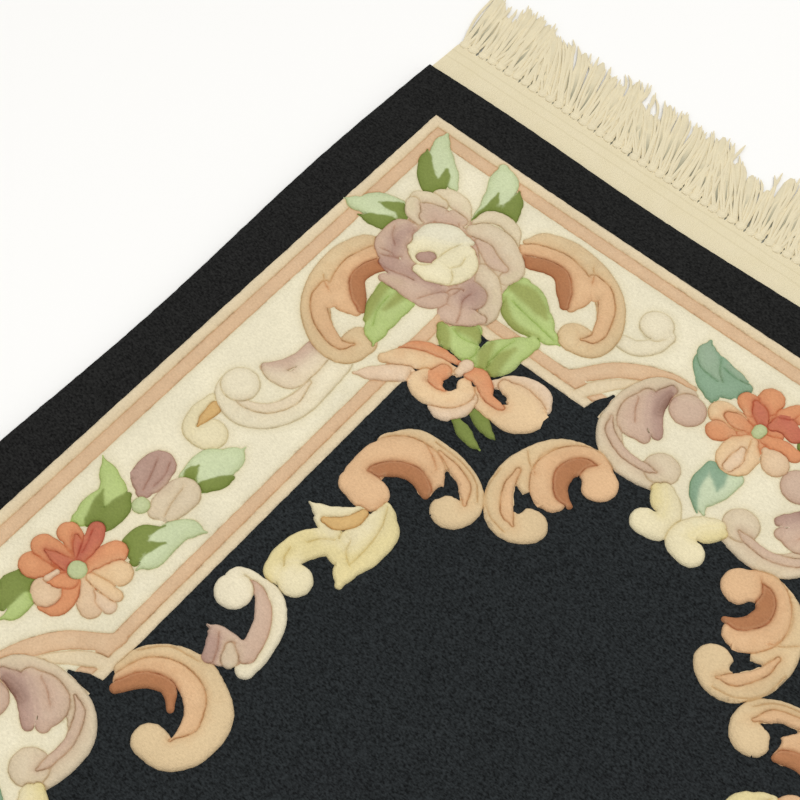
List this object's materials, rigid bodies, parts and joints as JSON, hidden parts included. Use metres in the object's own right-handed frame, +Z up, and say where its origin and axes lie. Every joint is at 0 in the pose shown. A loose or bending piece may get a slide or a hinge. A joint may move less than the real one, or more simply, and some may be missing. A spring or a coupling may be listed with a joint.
{
  "type": "hand-knotted rug",
  "caption": "Rectangular hand-knotted wool rug with a carved floral pile, flat-woven ends and a knotted cotton fringe at both ends.",
  "frame": {"origin": "centre of the rug's outline on the surface that it lies on", "axes": "+Z up out of the pile, +Y along the rug's length towards the fringed end that the picture shows, +X across its width"},
  "size_m": [0.9156, 1.7896, 0.013],
  "materials": {
    "pile_wool": "dense matt wool pile, cut and carved; its colours are stated in the look",
    "fringe_cotton": "undyed twisted cotton, matt"
  },
  "bodies": {
    "root": {"rug": "pile_wool", "fringe_back": "fringe_cotton", "fringe_front": "fringe_cotton"}
  },
  "joints": []
}
